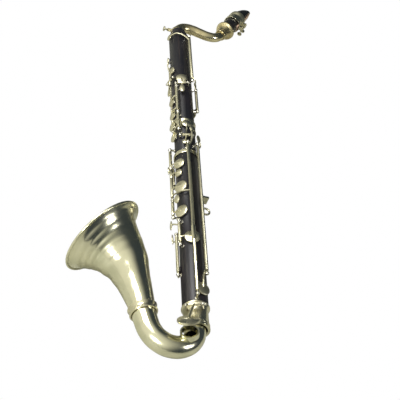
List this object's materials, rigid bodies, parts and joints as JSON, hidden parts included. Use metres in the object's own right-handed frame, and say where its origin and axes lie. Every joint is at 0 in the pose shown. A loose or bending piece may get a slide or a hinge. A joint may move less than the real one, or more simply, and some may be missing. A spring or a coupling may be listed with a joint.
{
  "type": "alto clarinet",
  "caption": "Alto clarinet: black wooden body with nickel silver keywork, curved neck with mouthpiece and an upturned flared bell.",
  "frame": {"origin": "middle of the bounding box's underside, the instrument lying on its right side", "axes": "+X towards the player's back, +Y up the body, +Z the player's left"},
  "size_m": [0.2854, 0.7172, 0.1142],
  "materials": {
    "grenadilla": "oiled black wood",
    "warm_nickel_silver": "aged, warm",
    "ebonite": "polished black",
    "cane": "bare cane",
    "cork": "cork",
    "polished_nickel_silver": "polished",
    "nickel_silver": "aged, slightly dull"
  },
  "bodies": {
    "instrument": {"bell": "polished_nickel_silver", "bell_key_axle": "nickel_silver", "bell_ring": "nickel_silver", "body_sleeve": "nickel_silver", "bow": "nickel_silver", "c_sharp_key_axle": "nickel_silver", "foot_socket": "nickel_silver", "front_cup_rod": "nickel_silver", "joint_ring": "nickel_silver", "left_lever_back_rod": "nickel_silver", "left_lever_front_rod": "nickel_silver", "left_stack_rod": "nickel_silver", "ligature": "nickel_silver", "little_finger_rod": "nickel_silver", "lower_joint": "grenadilla", "lower_trill_rod": "nickel_silver", "mouthpiece": "ebonite", "mouthpiece_cork": "cork", "neck": "warm_nickel_silver", "neck_receiver": "warm_nickel_silver", "neck_socket": "warm_nickel_silver", "reed": "cane", "register_rod": "nickel_silver", "right_side_rod": "nickel_silver", "right_stack_rod": "nickel_silver", "tenon_cork": "cork", "throat_a_key_axle": "nickel_silver", "throat_g_sharp_key_axle": "nickel_silver", "thumb_rest": "nickel_silver", "thumb_rod": "nickel_silver", "upper_joint": "grenadilla", "upper_trill_rod": "nickel_silver"},
    "register_key": {"register_key": "nickel_silver"},
    "thumb_key": {"thumb_key": "nickel_silver"},
    "left_first_key": {"left_first_key": "nickel_silver"},
    "left_second_key": {"left_second_key": "nickel_silver"},
    "left_third_key": {"left_third_key": "nickel_silver"},
    "left_fourth_key": {"left_fourth_key": "nickel_silver"},
    "right_first_key": {"right_first_key": "nickel_silver"},
    "right_second_key": {"right_second_key": "nickel_silver"},
    "right_third_key": {"right_third_key": "nickel_silver"},
    "right_fourth_key": {"right_fourth_key": "nickel_silver"},
    "right_side_key": {"right_side_key": "nickel_silver"},
    "little_finger_key": {"little_finger_key": "nickel_silver"},
    "front_cup_key": {"front_cup_key": "nickel_silver"},
    "upper_trill_key": {"upper_trill_key": "nickel_silver"},
    "lower_trill_key": {"lower_trill_key": "nickel_silver"},
    "left_lever_front": {"left_lever_front": "nickel_silver"},
    "left_lever_back": {"left_lever_back": "nickel_silver"},
    "throat_g_sharp_key": {"throat_g_sharp_key": "nickel_silver"},
    "throat_a_key": {"throat_a_key": "nickel_silver"},
    "c_sharp_key": {"c_sharp_key": "nickel_silver"},
    "bell_key": {"bell_key": "nickel_silver"},
    "neck_screw": {"neck_screw": "nickel_silver"},
    "lower_ligature_screw": {"lower_ligature_screw": "nickel_silver"},
    "upper_ligature_screw": {"upper_ligature_screw": "nickel_silver"}
  },
  "joints": [
    {"name": "register_key_turn", "type": "hinge", "parent": "instrument", "child": "register_key", "pos_m": [0.02678, 0.18144, 0.07467], "axis": [0, 1, 0], "range_deg": [0, 6], "stiffness_Nm_per_rad": 0.5},
    {"name": "thumb_key_turn", "type": "hinge", "parent": "instrument", "child": "thumb_key", "pos_m": [0.03397, 0.09394, 0.06735], "axis": [0, -1, 0], "range_deg": [0, 6], "stiffness_Nm_per_rad": 0.5},
    {"name": "left_first_key_turn", "type": "hinge", "parent": "instrument", "child": "left_first_key", "pos_m": [0.00124, 0.09044, 0.07495], "axis": [0, 1, 0], "range_deg": [0, 6], "stiffness_Nm_per_rad": 0.5},
    {"name": "left_second_key_turn", "type": "hinge", "parent": "instrument", "child": "left_second_key", "pos_m": [0.00124, 0.06694, 0.07495], "axis": [0, 1, 0], "range_deg": [0, 6], "stiffness_Nm_per_rad": 0.5},
    {"name": "left_third_key_turn", "type": "hinge", "parent": "instrument", "child": "left_third_key", "pos_m": [0.00124, 0.03994, 0.07495], "axis": [0, 1, 0], "range_deg": [0, 6], "stiffness_Nm_per_rad": 0.5},
    {"name": "left_fourth_key_turn", "type": "hinge", "parent": "instrument", "child": "left_fourth_key", "pos_m": [0.00124, 0.02644, 0.07495], "axis": [0, 1, 0], "range_deg": [0, 6], "stiffness_Nm_per_rad": 0.5},
    {"name": "right_first_key_turn", "type": "hinge", "parent": "instrument", "child": "right_first_key", "pos_m": [-0.0057, -0.03156, 0.05518], "axis": [0, -1, 0], "range_deg": [0, 6], "stiffness_Nm_per_rad": 0.5},
    {"name": "right_second_key_turn", "type": "hinge", "parent": "instrument", "child": "right_second_key", "pos_m": [-0.0057, -0.05756, 0.05518], "axis": [0, -1, 0], "range_deg": [0, 6], "stiffness_Nm_per_rad": 0.5},
    {"name": "right_third_key_turn", "type": "hinge", "parent": "instrument", "child": "right_third_key", "pos_m": [-0.0057, -0.08306, 0.05518], "axis": [0, -1, 0], "range_deg": [0, 6], "stiffness_Nm_per_rad": 0.5},
    {"name": "right_fourth_key_turn", "type": "hinge", "parent": "instrument", "child": "right_fourth_key", "pos_m": [-0.0057, -0.12106, 0.05518], "axis": [0, -1, 0], "range_deg": [0, 6], "stiffness_Nm_per_rad": 0.5},
    {"name": "right_side_key_turn", "type": "hinge", "parent": "instrument", "child": "right_side_key", "pos_m": [0.0025, -0.04806, 0.04187], "axis": [0, 1, 0], "range_deg": [0, 6], "stiffness_Nm_per_rad": 0.5},
    {"name": "little_finger_key_turn", "type": "hinge", "parent": "instrument", "child": "little_finger_key", "pos_m": [-0.00293, -0.17206, 0.06793], "axis": [0, -1, 0], "range_deg": [0, 6], "stiffness_Nm_per_rad": 0.5},
    {"name": "front_cup_key_turn", "type": "hinge", "parent": "instrument", "child": "front_cup_key", "pos_m": [-0.00403, -0.20181, 0.05852], "axis": [0, 1, 0], "range_deg": [0, 6], "stiffness_Nm_per_rad": 0.5},
    {"name": "upper_trill_key_turn", "type": "hinge", "parent": "instrument", "child": "upper_trill_key", "pos_m": [0.0066, 0.11994, 0.039], "axis": [0, -1, 0], "range_deg": [0, 6], "stiffness_Nm_per_rad": 0.5},
    {"name": "lower_trill_key_turn", "type": "hinge", "parent": "instrument", "child": "lower_trill_key", "pos_m": [0.0239, 0.10444, 0.03809], "axis": [0, -1, 0], "range_deg": [0, 6], "stiffness_Nm_per_rad": 0.5},
    {"name": "left_lever_front_turn", "type": "hinge", "parent": "instrument", "child": "left_lever_front", "pos_m": [0.01037, -0.14766, 0.08243], "axis": [0, 1, 0], "range_deg": [0, 6], "stiffness_Nm_per_rad": 0.5},
    {"name": "left_lever_back_turn", "type": "hinge", "parent": "instrument", "child": "left_lever_back", "pos_m": [0.02644, -0.12531, 0.07715], "axis": [0, 1, 0], "range_deg": [0, 6], "stiffness_Nm_per_rad": 0.5},
    {"name": "throat_g_sharp_key_turn", "type": "hinge", "parent": "instrument", "child": "throat_g_sharp_key", "pos_m": [0.00997, 0.11694, 0.07525], "axis": [0.9455, 0, 0.3256], "range_deg": [0, 6], "stiffness_Nm_per_rad": 0.5},
    {"name": "throat_a_key_turn", "type": "hinge", "parent": "instrument", "child": "throat_a_key", "pos_m": [-0.00256, 0.13294, 0.06109], "axis": [0.2079, 0, 0.9781], "range_deg": [0, 6], "stiffness_Nm_per_rad": 0.5},
    {"name": "c_sharp_key_turn", "type": "hinge", "parent": "instrument", "child": "c_sharp_key", "pos_m": [0.01167, 0.00594, 0.07534], "axis": [0.9703, 0, 0.2419], "range_deg": [0, 6], "stiffness_Nm_per_rad": 0.5},
    {"name": "bell_key_turn", "type": "hinge", "parent": "instrument", "child": "bell_key", "pos_m": [0.00727, -0.29306, 0.0772], "axis": [0.9135, 0, 0.4067], "range_deg": [0, 17], "stiffness_Nm_per_rad": 0.5},
    {"name": "neck_screw_turn", "type": "hinge", "parent": "instrument", "child": "neck_screw", "pos_m": [0.00122, 0.26214, 0.0571], "axis": [1, 0, 0], "continuous": true},
    {"name": "lower_ligature_screw_turn", "type": "hinge", "parent": "instrument", "child": "lower_ligature_screw", "pos_m": [0.12621, 0.31467, 0.0571], "axis": [0, 0, 1], "continuous": true},
    {"name": "upper_ligature_screw_turn", "type": "hinge", "parent": "instrument", "child": "upper_ligature_screw", "pos_m": [0.1323, 0.32501, 0.0571], "axis": [0, 0, 1], "continuous": true}
  ],
  "couplings": [
    {"joint": "bell_key_turn", "follows": "left_lever_front_turn", "ratio": 2.8}
  ]
}
